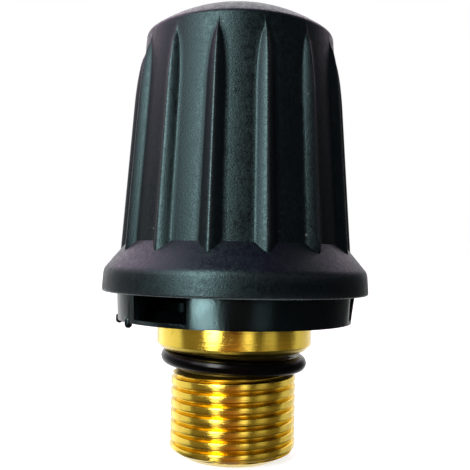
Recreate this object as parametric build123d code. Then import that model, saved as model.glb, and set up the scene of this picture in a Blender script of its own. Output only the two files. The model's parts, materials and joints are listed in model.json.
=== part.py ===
from build123d import *
import math
import os

# Safety valve cap for a small steam boiler, in millimetres, +Z up.
# The origin is on the axis at the underside of the brass collar, the face that the boiler neck meets.
# The front of the cap faces -Y, and an azimuth is measured from there towards +X.

# Running clearances
RUNNING_GAP = 0.3
SHAFT_GAP = 0.06
STOP_GAP = 0.35
SEAT_GAP = 0.05
FIT_GAP = 0.02

# Travel of the moving pieces
PRESS_TRAVEL = 2.5
RELIEF_LIFT = 1.5

# Pipe thread G 1/2 A of the brass plug, 14 threads to the inch, with its crests turned flat
THREAD_MAJOR_RADIUS = 20.955 / 2
THREAD_PITCH = 25.4 / 14
THREAD_DEPTH = 0.86
THREAD_FLAT = 0.72
THREAD_FLANK = 27.5
THREAD_LENGTH = 14.3
THREAD_END_CHAMFER = 1.35
THREAD_END_DEPTH = 2.3
THREAD_ROOT_SINK = 0.1

# Brass plug
COLLAR_RADIUS = 13.0
COLLAR_HEIGHT = 5.3
COLLAR_CHAMFER = 0.95
NECK_RADIUS = 9.2
NECK_HEIGHT = 3.5
HUB_RADIUS = 9.0
HUB_HEIGHT = 10.7
BORE_RADIUS = 6.0
BORE_FLOOR = 2.0
INLET_RADIUS = 4.0
INLET_CHAMFER = 0.6
GUIDE_RADIUS = 7.2
GUIDE_LENGTH = 2.8
STOP_WASHER_THICKNESS = 0.6

# Sealing ring under the collar
MAIN_RING_SECTION = 2.62
MAIN_RING_TILT = 2.4
MAIN_RING_NECK_GAP = 0.47

# Skirt cup, the ring that shows under the knob's flange
SKIRT_BOTTOM_RADIUS = 19.6
SKIRT_TOP_RADIUS = 19.9
SKIRT_WALL = 1.9
SKIRT_DROP = 0.57
SKIRT_HEIGHT = 5.6
SKIRT_TOP_CHAMFER = 0.8
SKIRT_FLOOR_THICKNESS = 1.3
SKIRT_SILL = 0.65
SKIRT_STEP_RADIUS = 14.4
# Windows as (start, end) azimuths
WINDOWS = ((-51.5, -26.0), (68.5, 81.0), (188.5, 214.0))
WINDOW_FLANK = 5.4
# Lug that stands out beyond the narrow window
LUG_AZIMUTH = 81.0
LUG_WIDTH = 1.3
LUG_TOP_RADIUS = 20.15
# Small nubs under one lobe of the skirt
NUB_AZIMUTHS = (-84.0, -58.5)
NUB_RADIUS = 0.55
NUB_DROP = 0.35
NUB_INSET = 0.25

# Fixed crown on the plug and turning crown in the knob
CROWN_TEETH = 12
CROWN_TOOTH_HEIGHT = 2.0
CROWN_TOOTH_SHARE = 0.44
CROWN_TOOTH_REST_GAP = PRESS_TRAVEL - CROWN_TOOTH_HEIGHT + RUNNING_GAP
CROWN_INNER_RADIUS = HUB_RADIUS
CROWN_OUTER_RADIUS = 11.0
CROWN_FLANGE_RADIUS = 13.4
CROWN_FLANGE_THICKNESS = 1.4
DRIVE_PIN_COUNT = 3
DRIVE_PIN_RADIUS = 0.9
DRIVE_PIN_DEPTH = 1.7

# Valve cartridge
PISTON_LENGTH = 7.05
STEM_RADIUS = 5.0
CHAMBER_RADIUS = 2.9
PISTON_RING_SECTION = 2.0
PISTON_RING_HEIGHT = 3.2
PISTON_GROOVE_PLAY = 0.15
PISTON_CHAMFER = 0.4
CARTRIDGE_FLANGE_RADIUS = 9.8
CARTRIDGE_FLANGE_THICKNESS = 2.0
STEM_ABOVE_FLANGE = 8.5
VENT_COUNT = 4
VENT_RADIUS = 1.0
VENT_BELOW_FLANGE = 4.0
VALVE_SEAT_LENGTH = 2.2
VALVE_HOLE_RADIUS = 1.4
VALVE_HOLE_CHAMFER = 0.5
THRUST_WASHER_THICKNESS = 0.7
LOCK_NUT_ACROSS_FLATS = 9.5
LOCK_NUT_HEIGHT = 3.0
LOCK_NUT_CHAMFER = 0.5
SCREW_ABOVE_NUT = 1.5
SCREW_LENGTH = 12.5
SCREW_SLOT_WIDTH = 0.9
SCREW_SLOT_DEPTH = 1.1
SPRING_SEAT_THICKNESS = 1.2

# Relief poppet
POPPET_RADIUS = 2.75
POPPET_HEAD = 1.4
POPPET_STEM_RADIUS = 1.1
POPPET_STEM_LENGTH = 8.5
POPPET_STEM_CHAMFER = 0.3
SEAL_RADIUS = 2.0
SEAL_THICKNESS = 0.65

# Springs
LIFT_SPRING_LENGTH = 8.0
LIFT_SPRING_WIRE = 1.0
LIFT_SPRING_RADIUS = 6.9
LIFT_SPRING_TURNS = 3.5
RELIEF_SPRING_WIRE = 0.7
RELIEF_SPRING_RADIUS = 2.1
RELIEF_SPRING_TURNS = 9.0

# Knob shell, outside
DOME_APEX = 57.75
DOME_RADIUS = 26.2
RIM_FILLET = 0.9
BODY_TOP_RADIUS = 15.9
BODY_FOOT_RADIUS = 18.32
BODY_FOOT_HEIGHT = 17.55
FLANGE_LIP_WALL = 1.96
FLANGE_TAPER = 0.24
FLANGE_BOTTOM = 9.37
FLANGE_SHOULDER_HEIGHT = 13.05
FLANGE_SHOULDER_FILLET = 1.9
FLANGE_EDGE_FILLET = 0.35

# Ribs of the knob shell; a flank's slope is its width for each millimetre of height
RIB_COUNT = 14
RIB_AZIMUTH = -12.0
RIB_TOP = 50.0
RIB_FADE = 9.0
RIB_CREST_HEIGHT = 1.22
RIB_TOP_SLOPE = 1.0
RIB_FOOT_SLOPE = 1.46
RIB_ROOT = 0.5
RIB_STATIONS = 7

# Knob shell, inside
KNOB_WALL = 2.2
FLANGE_WALL = 1.6
SKIRT_CLEARANCE = 0.5
TUBE_INNER_RADIUS = 7.2
TUBE_OUTER_RADIUS = 9.6
BUSH_LENGTH = 6.0
SCREW_CIRCLE_RADIUS = 12.9
BOSS_COUNT = 3
BOSS_RADIUS = 1.9
CROWN_SCREW_RADIUS = 1.0
CROWN_SCREW_LENGTH = 8.0
CROWN_SCREW_HEAD_RADIUS = 1.6
CROWN_SCREW_HEAD_HEIGHT = 1.2
CROWN_SCREW_RECESS_WIDTH = 0.5
CROWN_SCREW_RECESS_DEPTH = 0.6
CROWN_SCREW_RECESS_MARGIN = 0.3
DRIVE_DISC_THICKNESS = 1.8
DRIVE_DISC_INNER_RADIUS = 8.2
DRIVE_DISC_OUTER_RADIUS = 14.7

# Heights that follow from the sizes above
THREAD_BOTTOM = -NECK_HEIGHT - THREAD_LENGTH
HUB_TOP = COLLAR_HEIGHT + HUB_HEIGHT
STOP_FACE = HUB_TOP - GUIDE_LENGTH - STOP_WASHER_THICKNESS
PISTON_TOP = STOP_FACE - STOP_GAP
PISTON_BOTTOM = PISTON_TOP - PISTON_LENGTH
CARTRIDGE_FLANGE_BOTTOM = HUB_TOP + LIFT_SPRING_LENGTH
CARTRIDGE_FLANGE_TOP = CARTRIDGE_FLANGE_BOTTOM + CARTRIDGE_FLANGE_THICKNESS
STEM_TOP = CARTRIDGE_FLANGE_TOP + STEM_ABOVE_FLANGE
SCREW_TOP = STEM_TOP + LOCK_NUT_HEIGHT + SCREW_ABOVE_NUT
SCREW_BOTTOM = SCREW_TOP - SCREW_LENGTH
VALVE_SEAT_TOP = PISTON_BOTTOM + VALVE_SEAT_LENGTH
SEAL_BOTTOM = VALVE_SEAT_TOP + SEAT_GAP
POPPET_BOTTOM = SEAL_BOTTOM + SEAL_THICKNESS
POPPET_HEAD_TOP = POPPET_BOTTOM + POPPET_HEAD
SKIRT_BOTTOM = COLLAR_HEIGHT - SKIRT_DROP
SKIRT_TOP = SKIRT_BOTTOM + SKIRT_HEIGHT
SKIRT_FLOOR_TOP = COLLAR_HEIGHT + SKIRT_FLOOR_THICKNESS
DRIVE_DISC_TOP = CARTRIDGE_FLANGE_BOTTOM - RUNNING_GAP
DRIVE_DISC_BOTTOM = DRIVE_DISC_TOP - DRIVE_DISC_THICKNESS
DRIVE_TOOTH_TIP = DRIVE_DISC_BOTTOM - CROWN_TOOTH_HEIGHT
CROWN_TOOTH_TIP = DRIVE_TOOTH_TIP - CROWN_TOOTH_REST_GAP
CROWN_TOOTH_ROOT = CROWN_TOOTH_TIP - CROWN_TOOTH_HEIGHT
THRUST_WASHER_TOP = CARTRIDGE_FLANGE_TOP + THRUST_WASHER_THICKNESS
TUBE_BOTTOM = THRUST_WASHER_TOP + RUNNING_GAP
FLANGE_LIP_RADIUS = SKIRT_TOP_RADIUS + SKIRT_CLEARANCE
FLANGE_RADIUS = FLANGE_LIP_RADIUS + FLANGE_LIP_WALL
FLANGE_SHOULDER_RADIUS = FLANGE_RADIUS - FLANGE_TAPER
DOME_CENTRE = DOME_APEX - DOME_RADIUS
BODY_TOP = DOME_CENTRE + math.sqrt(DOME_RADIUS ** 2 - BODY_TOP_RADIUS ** 2)


# Helpers

def rod(radius, bottom, top):
    """A solid cylinder on the axis."""
    return Pos(0, 0, bottom) * Cylinder(radius, top - bottom, align=(Align.CENTER, Align.CENTER, Align.MIN))


def ring(inner, outer, bottom, top):
    """A plain ring on the axis."""
    return rod(outer, bottom, top) - rod(inner, bottom, top)


def turned(outline):
    """A solid turned about the axis from the (radius, height) corners of its half section."""
    return revolve(Plane.XZ * make_face(Polyline(*outline, close=True)), Axis.Z)


def at_azimuth(angle, piece):
    """Turns a piece drawn along +X to the given azimuth from the front."""
    return Rot(0, 0, angle - 90) * piece


def around(count, piece, start=0.0):
    """Copies of a piece drawn along +X, evenly spaced from the start azimuth."""
    return [at_azimuth(start + 360 / count * index, piece) for index in range(count)]


def polar(radius, azimuth):
    """The (x, y) place at a radius and an azimuth."""
    bearing = math.radians(azimuth - 90)
    return radius * math.cos(bearing), radius * math.sin(bearing)


def upright(corners, bottom, top):
    """A prism on the (x, y) corners."""
    face = make_face(Polyline(*corners, close=True))
    return Pos(0, 0, bottom) * extrude(face, top - bottom)


def sector(outer, start, end, bottom, top):
    """A wedge of a disc between two azimuths, from the axis out."""
    middle = (start + end) / 2
    reach = outer / math.cos(math.radians((end - start) / 4))
    corners = [(0, 0)] + [polar(reach, angle) for angle in (start, middle, end)]
    return upright(corners, bottom, top)


def spring(radius, wire, turns, bottom, top):
    """A round-wire coil spring that stands on its bottom height."""
    rise = top - bottom - wire
    path = Helix(rise / turns, rise, radius)
    section = Plane(path @ 0, z_dir=path % 0) * Circle(wire / 2)
    return Pos(0, 0, bottom + wire / 2) * sweep(section, path, is_frenet=True)


def crown_teeth(root, tip, start):
    """Face teeth between a root height and a tip height."""
    width = 360 / CROWN_TEETH * CROWN_TOOTH_SHARE
    low, high = min(root, tip), max(root, tip)
    band = ring(CROWN_INNER_RADIUS + RUNNING_GAP, CROWN_OUTER_RADIUS, low, high)
    wedges = [
        sector(CROWN_OUTER_RADIUS, angle - width / 2, angle + width / 2, low, high)
        for angle in (start + 360 / CROWN_TEETH * index for index in range(CROWN_TEETH))
    ]
    return [band & wedge for wedge in wedges]


# Brass plug

def thread_ridge():
    """One continuous ridge of the pipe thread, a little longer than the threaded length."""
    root = THREAD_MAJOR_RADIUS - THREAD_DEPTH
    length = THREAD_LENGTH + THREAD_PITCH
    path = Helix(THREAD_PITCH, length, root)
    sunk = THREAD_ROOT_SINK
    slope = math.tan(math.radians(THREAD_FLANK))
    half_root = THREAD_FLAT / 2 + THREAD_DEPTH * slope
    corners = [
        (root - sunk, -half_root - sunk * slope),
        (THREAD_MAJOR_RADIUS, -THREAD_FLAT / 2),
        (THREAD_MAJOR_RADIUS, THREAD_FLAT / 2),
        (root - sunk, half_root + sunk * slope),
    ]
    section = Plane.XZ * make_face(Polyline(*corners, close=True))
    ridge = sweep(section, path, is_frenet=True)
    return Pos(0, 0, THREAD_BOTTOM - THREAD_PITCH / 2) * ridge


def make_plug_body():
    root = THREAD_MAJOR_RADIUS - THREAD_DEPTH
    end_radius = THREAD_MAJOR_RADIUS - THREAD_END_DEPTH
    limit = turned([
        (0, THREAD_BOTTOM),
        (end_radius, THREAD_BOTTOM),
        (THREAD_MAJOR_RADIUS + FIT_GAP, THREAD_BOTTOM + THREAD_END_CHAMFER),
        (THREAD_MAJOR_RADIUS + FIT_GAP, -NECK_HEIGHT - THREAD_DEPTH),
        (NECK_RADIUS, -NECK_HEIGHT),
        (0, -NECK_HEIGHT),
    ])
    spigot = (rod(root, THREAD_BOTTOM, -NECK_HEIGHT) + thread_ridge()) & limit
    upper = turned([
        (0, -NECK_HEIGHT),
        (NECK_RADIUS, -NECK_HEIGHT),
        (NECK_RADIUS, 0),
        (COLLAR_RADIUS - COLLAR_CHAMFER, 0),
        (COLLAR_RADIUS, COLLAR_CHAMFER),
        (COLLAR_RADIUS, COLLAR_HEIGHT),
        (HUB_RADIUS, COLLAR_HEIGHT),
        (HUB_RADIUS, HUB_TOP),
        (0, HUB_TOP),
    ])
    bores = turned([
        (0, THREAD_BOTTOM),
        (INLET_RADIUS + INLET_CHAMFER, THREAD_BOTTOM),
        (INLET_RADIUS, THREAD_BOTTOM + INLET_CHAMFER),
        (INLET_RADIUS, BORE_FLOOR),
        (BORE_RADIUS, BORE_FLOOR),
        (BORE_RADIUS, STOP_FACE),
        (GUIDE_RADIUS, STOP_FACE),
        (GUIDE_RADIUS, HUB_TOP),
        (0, HUB_TOP),
    ])
    return spigot + upper - bores - drive_pins()


def make_main_o_ring():
    radius = MAIN_RING_SECTION / 2
    middle = NECK_RADIUS + radius + MAIN_RING_NECK_GAP
    drop = radius + middle * math.sin(math.radians(MAIN_RING_TILT)) + FIT_GAP
    return Pos(0, 0, -drop) * Rot(0, MAIN_RING_TILT, 0) * Torus(middle, radius)


def make_stop_washer():
    return ring(STEM_RADIUS + RUNNING_GAP, GUIDE_RADIUS, STOP_FACE, STOP_FACE + STOP_WASHER_THICKNESS)


def make_guide_ring():
    return ring(STEM_RADIUS + SHAFT_GAP, GUIDE_RADIUS, HUB_TOP - GUIDE_LENGTH, HUB_TOP)


# Skirt cup and fixed crown

def make_skirt_cup():
    growth = (SKIRT_TOP_RADIUS - SKIRT_BOTTOM_RADIUS) / SKIRT_HEIGHT
    shoulder = SKIRT_TOP_RADIUS - growth * SKIRT_TOP_CHAMFER
    inner = SKIRT_BOTTOM_RADIUS - SKIRT_WALL
    sill = SKIRT_BOTTOM + SKIRT_SILL
    cup = turned([
        (HUB_RADIUS, COLLAR_HEIGHT),
        (SKIRT_STEP_RADIUS - SKIRT_DROP, COLLAR_HEIGHT),
        (SKIRT_STEP_RADIUS, SKIRT_BOTTOM),
        (SKIRT_BOTTOM_RADIUS, SKIRT_BOTTOM),
        (shoulder, SKIRT_TOP - SKIRT_TOP_CHAMFER),
        (SKIRT_TOP_RADIUS - SKIRT_TOP_CHAMFER, SKIRT_TOP),
        (inner, SKIRT_TOP),
        (inner, sill),
        (SKIRT_STEP_RADIUS + SKIRT_FLOOR_TOP - sill, sill),
        (SKIRT_STEP_RADIUS, SKIRT_FLOOR_TOP),
        (HUB_RADIUS, SKIRT_FLOOR_TOP),
    ])
    for start, end in WINDOWS:
        opening = sector(LUG_TOP_RADIUS + 1, start, end, sill, SKIRT_TOP)
        cup -= opening - rod(inner - 1, sill, SKIRT_TOP)
    for start, end in (WINDOWS[0], WINDOWS[2]):
        cup -= window_flank(end, sill)
    for azimuth in NUB_AZIMUTHS:
        nub = Cylinder(NUB_RADIUS, SKIRT_SILL + NUB_DROP, align=(Align.CENTER, Align.CENTER, Align.MIN))
        cup += Pos(*polar(SKIRT_BOTTOM_RADIUS - NUB_INSET, azimuth), SKIRT_BOTTOM - NUB_DROP) * nub
    return cup + window_lug(sill)


def window_flank(end, sill):
    """The wedge that slopes one end of a window from the inner wall out to the face of the skirt."""
    inner = SKIRT_BOTTOM_RADIUS - SKIRT_WALL - RUNNING_GAP
    outer = SKIRT_TOP_RADIUS + 1
    corners = [
        polar(inner, end),
        polar(SKIRT_BOTTOM_RADIUS, end + WINDOW_FLANK),
        polar(outer, end + WINDOW_FLANK),
        polar(outer, end),
    ]
    return upright(corners, sill, SKIRT_TOP)


def window_lug(sill):
    """The upright lug beyond the narrow window, which leans out towards its top."""
    inner = SKIRT_BOTTOM_RADIUS - SKIRT_WALL
    rest_flange = SKIRT_TOP - SKIRT_TOP_CHAMFER
    side = Plane.XZ.offset(-LUG_WIDTH) * make_face(Polyline(
        (inner, sill),
        (SKIRT_BOTTOM_RADIUS, sill),
        (LUG_TOP_RADIUS, rest_flange),
        (SKIRT_BOTTOM_RADIUS, SKIRT_TOP),
        (inner, SKIRT_TOP),
        close=True,
    ))
    return at_azimuth(LUG_AZIMUTH, extrude(side, LUG_WIDTH))


def make_crown_ring():
    body = turned([
        (CROWN_INNER_RADIUS, SKIRT_FLOOR_TOP),
        (CROWN_FLANGE_RADIUS, SKIRT_FLOOR_TOP),
        (CROWN_FLANGE_RADIUS, SKIRT_FLOOR_TOP + CROWN_FLANGE_THICKNESS),
        (CROWN_OUTER_RADIUS, SKIRT_FLOOR_TOP + CROWN_FLANGE_THICKNESS),
        (CROWN_OUTER_RADIUS, CROWN_TOOTH_ROOT),
        (CROWN_INNER_RADIUS, CROWN_TOOTH_ROOT),
    ])
    for tooth in crown_teeth(CROWN_TOOTH_ROOT, CROWN_TOOTH_TIP, 180 / CROWN_TEETH):
        body += tooth
    return body - drive_pins()


def drive_pins():
    """Radial pins that lock the fixed crown on the hub."""
    height = (SKIRT_FLOOR_TOP + CROWN_FLANGE_THICKNESS + CROWN_TOOTH_ROOT) / 2
    inner = HUB_RADIUS - DRIVE_PIN_DEPTH
    length = CROWN_OUTER_RADIUS - inner
    pin = Pos(inner + length / 2, 0, height) * Rot(0, 90, 0) * Cylinder(DRIVE_PIN_RADIUS, length)
    return Compound(children=around(DRIVE_PIN_COUNT, pin, 60))


# Valve cartridge

def make_cartridge_body():
    piston_radius = BORE_RADIUS - SHAFT_GAP
    groove_floor = BORE_RADIUS - FIT_GAP - PISTON_RING_SECTION - FIT_GAP
    ring_middle = PISTON_BOTTOM + PISTON_RING_HEIGHT
    groove = PISTON_RING_SECTION / 2 + PISTON_GROOVE_PLAY
    body = turned([
        (CHAMBER_RADIUS, PISTON_BOTTOM),
        (piston_radius - PISTON_CHAMFER, PISTON_BOTTOM),
        (piston_radius, PISTON_BOTTOM + PISTON_CHAMFER),
        (piston_radius, ring_middle - groove),
        (groove_floor, ring_middle - groove),
        (groove_floor, ring_middle + groove),
        (piston_radius, ring_middle + groove),
        (piston_radius, PISTON_TOP),
        (STEM_RADIUS, PISTON_TOP),
        (STEM_RADIUS, CARTRIDGE_FLANGE_BOTTOM),
        (CARTRIDGE_FLANGE_RADIUS, CARTRIDGE_FLANGE_BOTTOM),
        (CARTRIDGE_FLANGE_RADIUS, CARTRIDGE_FLANGE_TOP),
        (STEM_RADIUS, CARTRIDGE_FLANGE_TOP),
        (STEM_RADIUS, STEM_TOP),
        (CHAMBER_RADIUS, STEM_TOP),
    ])
    height = CARTRIDGE_FLANGE_BOTTOM - VENT_BELOW_FLANGE
    reach = 2 * (STEM_RADIUS - VENT_RADIUS)
    vent = Pos(STEM_RADIUS, 0, height) * Rot(0, 90, 0) * Cylinder(VENT_RADIUS, reach)
    for hole in around(VENT_COUNT, vent):
        body -= hole
    return body


def make_piston_o_ring():
    radius = PISTON_RING_SECTION / 2
    middle = BORE_RADIUS - FIT_GAP - radius
    return Pos(0, 0, PISTON_BOTTOM + PISTON_RING_HEIGHT) * Torus(middle, radius)


def make_valve_seat():
    return turned([
        (VALVE_HOLE_RADIUS + VALVE_HOLE_CHAMFER, PISTON_BOTTOM),
        (CHAMBER_RADIUS, PISTON_BOTTOM),
        (CHAMBER_RADIUS, VALVE_SEAT_TOP),
        (VALVE_HOLE_RADIUS, VALVE_SEAT_TOP),
        (VALVE_HOLE_RADIUS, PISTON_BOTTOM + VALVE_HOLE_CHAMFER),
    ])


def make_adjusting_screw():
    screw = rod(CHAMBER_RADIUS, SCREW_BOTTOM, SCREW_TOP)
    slot = Box(3 * CHAMBER_RADIUS, SCREW_SLOT_WIDTH, SCREW_SLOT_DEPTH)
    return screw - Pos(0, 0, SCREW_TOP - SCREW_SLOT_DEPTH / 2) * slot


def make_lock_nut():
    profile = RegularPolygon(LOCK_NUT_ACROSS_FLATS / 2, 6, major_radius=False)
    hexagon = Pos(0, 0, STEM_TOP) * extrude(profile, LOCK_NUT_HEIGHT)
    corner = LOCK_NUT_ACROSS_FLATS / math.sqrt(3)
    nut_top = STEM_TOP + LOCK_NUT_HEIGHT
    cone = turned([
        (CHAMBER_RADIUS, STEM_TOP),
        (corner + FIT_GAP, STEM_TOP),
        (corner + FIT_GAP, nut_top - LOCK_NUT_CHAMFER),
        (corner - 2 * LOCK_NUT_CHAMFER, nut_top),
        (CHAMBER_RADIUS, nut_top),
    ])
    return hexagon & cone


def make_thrust_washer():
    outer = CARTRIDGE_FLANGE_RADIUS - RUNNING_GAP
    return ring(STEM_RADIUS + SHAFT_GAP, outer, CARTRIDGE_FLANGE_TOP, THRUST_WASHER_TOP)


def make_spring_seat():
    button = rod(CHAMBER_RADIUS - RUNNING_GAP, SCREW_BOTTOM - SPRING_SEAT_THICKNESS, SCREW_BOTTOM)
    nose_radius = RELIEF_SPRING_RADIUS - RELIEF_SPRING_WIRE / 2 - RUNNING_GAP
    nose = rod(nose_radius, SCREW_BOTTOM - 2 * SPRING_SEAT_THICKNESS, SCREW_BOTTOM - SPRING_SEAT_THICKNESS)
    return button + nose


# Relief poppet

def make_relief_poppet():
    stem_top = POPPET_HEAD_TOP + POPPET_STEM_LENGTH
    return turned([
        (0, POPPET_BOTTOM),
        (POPPET_RADIUS, POPPET_BOTTOM),
        (POPPET_RADIUS, POPPET_HEAD_TOP),
        (POPPET_STEM_RADIUS, POPPET_HEAD_TOP),
        (POPPET_STEM_RADIUS, stem_top - POPPET_STEM_CHAMFER),
        (POPPET_STEM_RADIUS - POPPET_STEM_CHAMFER, stem_top),
        (0, stem_top),
    ])


def make_relief_seal():
    return rod(SEAL_RADIUS, SEAL_BOTTOM, POPPET_BOTTOM)


# Springs

def make_lift_spring():
    return spring(LIFT_SPRING_RADIUS, LIFT_SPRING_WIRE, LIFT_SPRING_TURNS,
                  HUB_TOP + SEAT_GAP, CARTRIDGE_FLANGE_BOTTOM - SEAT_GAP)


def make_relief_spring():
    return spring(RELIEF_SPRING_RADIUS, RELIEF_SPRING_WIRE, RELIEF_SPRING_TURNS,
                  POPPET_HEAD_TOP + SEAT_GAP, SCREW_BOTTOM - SPRING_SEAT_THICKNESS - SEAT_GAP)


# Knob

def body_radius(height):
    """Radius of the smooth body between the ribs."""
    share = (BODY_TOP - height) / (BODY_TOP - BODY_FOOT_HEIGHT)
    return BODY_TOP_RADIUS + share * (BODY_FOOT_RADIUS - BODY_TOP_RADIUS)


def knob_half_section():
    """Half section of the hollow shell, with its rounded rim and flange shoulder."""
    run = FLANGE_SHOULDER_RADIUS - BODY_FOOT_RADIUS
    fall = BODY_FOOT_HEIGHT - FLANGE_SHOULDER_HEIGHT
    slant = math.hypot(run, fall)
    foot_radius = BODY_FOOT_RADIUS - KNOB_WALL
    ceiling_radius = DOME_RADIUS - KNOB_WALL
    top_inner = BODY_TOP_RADIUS - KNOB_WALL
    # inner cone, parallel to the flange cone
    cone_shift = FLANGE_WALL * slant / fall
    lip_top = BODY_FOOT_HEIGHT - (FLANGE_LIP_RADIUS + cone_shift - BODY_FOOT_RADIUS) * fall / run
    foot_top = BODY_FOOT_HEIGHT - (foot_radius + cone_shift - BODY_FOOT_RADIUS) * fall / run
    apex_inner = DOME_CENTRE + ceiling_radius
    corner_inner = DOME_CENTRE + math.sqrt(ceiling_radius ** 2 - top_inner ** 2)
    lean = math.pi / 4
    outer_mid = (DOME_RADIUS * math.sin(lean / 2), DOME_CENTRE + DOME_RADIUS * math.cos(lean / 2))
    inner_mid = (ceiling_radius * math.sin(lean / 2), DOME_CENTRE + ceiling_radius * math.cos(lean / 2))
    edges = [
        ThreePointArc((0, DOME_APEX), outer_mid, (BODY_TOP_RADIUS, BODY_TOP)),
        Polyline(
            (BODY_TOP_RADIUS, BODY_TOP),
            (BODY_FOOT_RADIUS, BODY_FOOT_HEIGHT),
            (FLANGE_SHOULDER_RADIUS, FLANGE_SHOULDER_HEIGHT),
            (FLANGE_RADIUS, FLANGE_BOTTOM),
            (FLANGE_LIP_RADIUS, FLANGE_BOTTOM),
            (FLANGE_LIP_RADIUS, lip_top),
            (foot_radius, foot_top),
            (top_inner, corner_inner),
        ),
        ThreePointArc((top_inner, corner_inner), inner_mid, (0, apex_inner)),
        Line((0, apex_inner), (0, DOME_APEX)),
    ]
    section = make_face(edges)
    for corner, radius in (
        ((BODY_TOP_RADIUS, BODY_TOP), RIM_FILLET),
        ((FLANGE_SHOULDER_RADIUS, FLANGE_SHOULDER_HEIGHT), FLANGE_SHOULDER_FILLET),
        ((FLANGE_RADIUS, FLANGE_BOTTOM), FLANGE_EDGE_FILLET),
    ):
        section = fillet(section.vertices().sort_by_distance(Vector(*corner, 0))[0], radius)
    return section


def rib():
    """One raised rib with a sharp crest, drawn along +X, that sinks into the body below the rim."""
    foot = (BODY_FOOT_HEIGHT + FLANGE_SHOULDER_HEIGHT) / 2
    fade_start = RIB_TOP - RIB_FADE
    quarter = math.pi / 2 / RIB_STATIONS
    heights = [foot] + [fade_start + RIB_FADE * math.sin(quarter * step) for step in range(RIB_STATIONS + 1)]
    sections = []
    for height in heights:
        risen = max(0.0, (height - fade_start) / RIB_FADE)
        crest = RIB_CREST_HEIGHT * math.sqrt(max(0.0, 1 - risen ** 2))
        share = (height - foot) / (RIB_TOP - foot)
        slope = RIB_FOOT_SLOPE + share * (RIB_TOP_SLOPE - RIB_FOOT_SLOPE)
        spread = slope * (crest + RIB_ROOT)
        radius = body_radius(height)
        base = radius - RIB_ROOT
        triangle = Polyline((base, -spread), (radius + crest, 0), (base, spread), close=True)
        sections.append(Pos(0, 0, height) * make_face(triangle))
    return loft(sections, ruled=True)


def make_knob_shell():
    shell = revolve(Plane.XZ * knob_half_section(), Axis.Z)
    outer = shell
    for piece in around(RIB_COUNT, rib(), RIB_AZIMUTH):
        outer += piece
    ceiling = DOME_RADIUS - KNOB_WALL / 2
    tube_top = DOME_CENTRE + math.sqrt(ceiling ** 2 - TUBE_OUTER_RADIUS ** 2)
    tube = ring(TUBE_INNER_RADIUS, TUBE_OUTER_RADIUS, TUBE_BOTTOM, tube_top)
    outer += tube
    reach = SCREW_CIRCLE_RADIUS + BOSS_RADIUS
    boss_top = DOME_CENTRE + math.sqrt(ceiling ** 2 - reach ** 2)
    hole_top = DRIVE_DISC_TOP + CROWN_SCREW_LENGTH
    height = boss_top - DRIVE_DISC_TOP
    boss = Pos(SCREW_CIRCLE_RADIUS, 0, DRIVE_DISC_TOP + height / 2) * Cylinder(BOSS_RADIUS, height)
    depth = hole_top - DRIVE_DISC_TOP
    hole = Pos(SCREW_CIRCLE_RADIUS, 0, DRIVE_DISC_TOP + depth / 2) * Cylinder(CROWN_SCREW_RADIUS, depth)
    for piece in around(BOSS_COUNT, boss):
        outer += piece
    for piece in around(BOSS_COUNT, hole):
        outer -= piece
    return outer


def make_knob_bush():
    return ring(STEM_RADIUS + SHAFT_GAP, TUBE_INNER_RADIUS, TUBE_BOTTOM, TUBE_BOTTOM + BUSH_LENGTH)


def make_drive_crown():
    disc = ring(DRIVE_DISC_INNER_RADIUS, DRIVE_DISC_OUTER_RADIUS, DRIVE_DISC_BOTTOM, DRIVE_DISC_TOP)
    for tooth in crown_teeth(DRIVE_DISC_BOTTOM, DRIVE_TOOTH_TIP, 0):
        disc += tooth
    hole = Pos(SCREW_CIRCLE_RADIUS, 0, (DRIVE_DISC_BOTTOM + DRIVE_DISC_TOP) / 2)
    hole *= Cylinder(CROWN_SCREW_RADIUS, DRIVE_DISC_THICKNESS)
    for piece in around(BOSS_COUNT, hole):
        disc -= piece
    return disc


def make_crown_screws():
    shank_top = DRIVE_DISC_TOP + CROWN_SCREW_LENGTH
    head_bottom = DRIVE_DISC_BOTTOM - CROWN_SCREW_HEAD_HEIGHT
    screw = rod(CROWN_SCREW_RADIUS, DRIVE_DISC_BOTTOM, shank_top)
    screw += rod(CROWN_SCREW_HEAD_RADIUS, head_bottom, DRIVE_DISC_BOTTOM)
    length = 2 * (CROWN_SCREW_HEAD_RADIUS - CROWN_SCREW_RECESS_MARGIN)
    arm = Box(length, CROWN_SCREW_RECESS_WIDTH, 2 * CROWN_SCREW_RECESS_DEPTH)
    screw -= Pos(0, 0, head_bottom) * (arm + Rot(0, 0, 90) * arm)
    return Compound(children=around(BOSS_COUNT, Pos(SCREW_CIRCLE_RADIUS, 0, 0) * screw))


PIECES = {
    "plug_body": make_plug_body,
    "main_o_ring": make_main_o_ring,
    "stop_washer": make_stop_washer,
    "guide_ring": make_guide_ring,
    "skirt_cup": make_skirt_cup,
    "crown_ring": make_crown_ring,
    "drive_pins": drive_pins,
    "cartridge_body": make_cartridge_body,
    "piston_o_ring": make_piston_o_ring,
    "valve_seat": make_valve_seat,
    "adjusting_screw": make_adjusting_screw,
    "lock_nut": make_lock_nut,
    "thrust_washer": make_thrust_washer,
    "spring_seat": make_spring_seat,
    "relief_poppet": make_relief_poppet,
    "relief_seal": make_relief_seal,
    "lift_spring": make_lift_spring,
    "relief_spring": make_relief_spring,
    "knob_shell": make_knob_shell,
    "knob_bush": make_knob_bush,
    "drive_crown": make_drive_crown,
    "crown_screws": make_crown_screws,
}

os.makedirs("parts", exist_ok=True)
for name, make in PIECES.items():
    export_step(make(), f"parts/{name}.step")
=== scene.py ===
# Safety valve cap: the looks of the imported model, with its studio.
# Shapes are worked out in millimetres, and become metres when a piece is finished.

import json
import math

import bmesh
import bpy
from mathutils import Matrix, Vector


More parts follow.
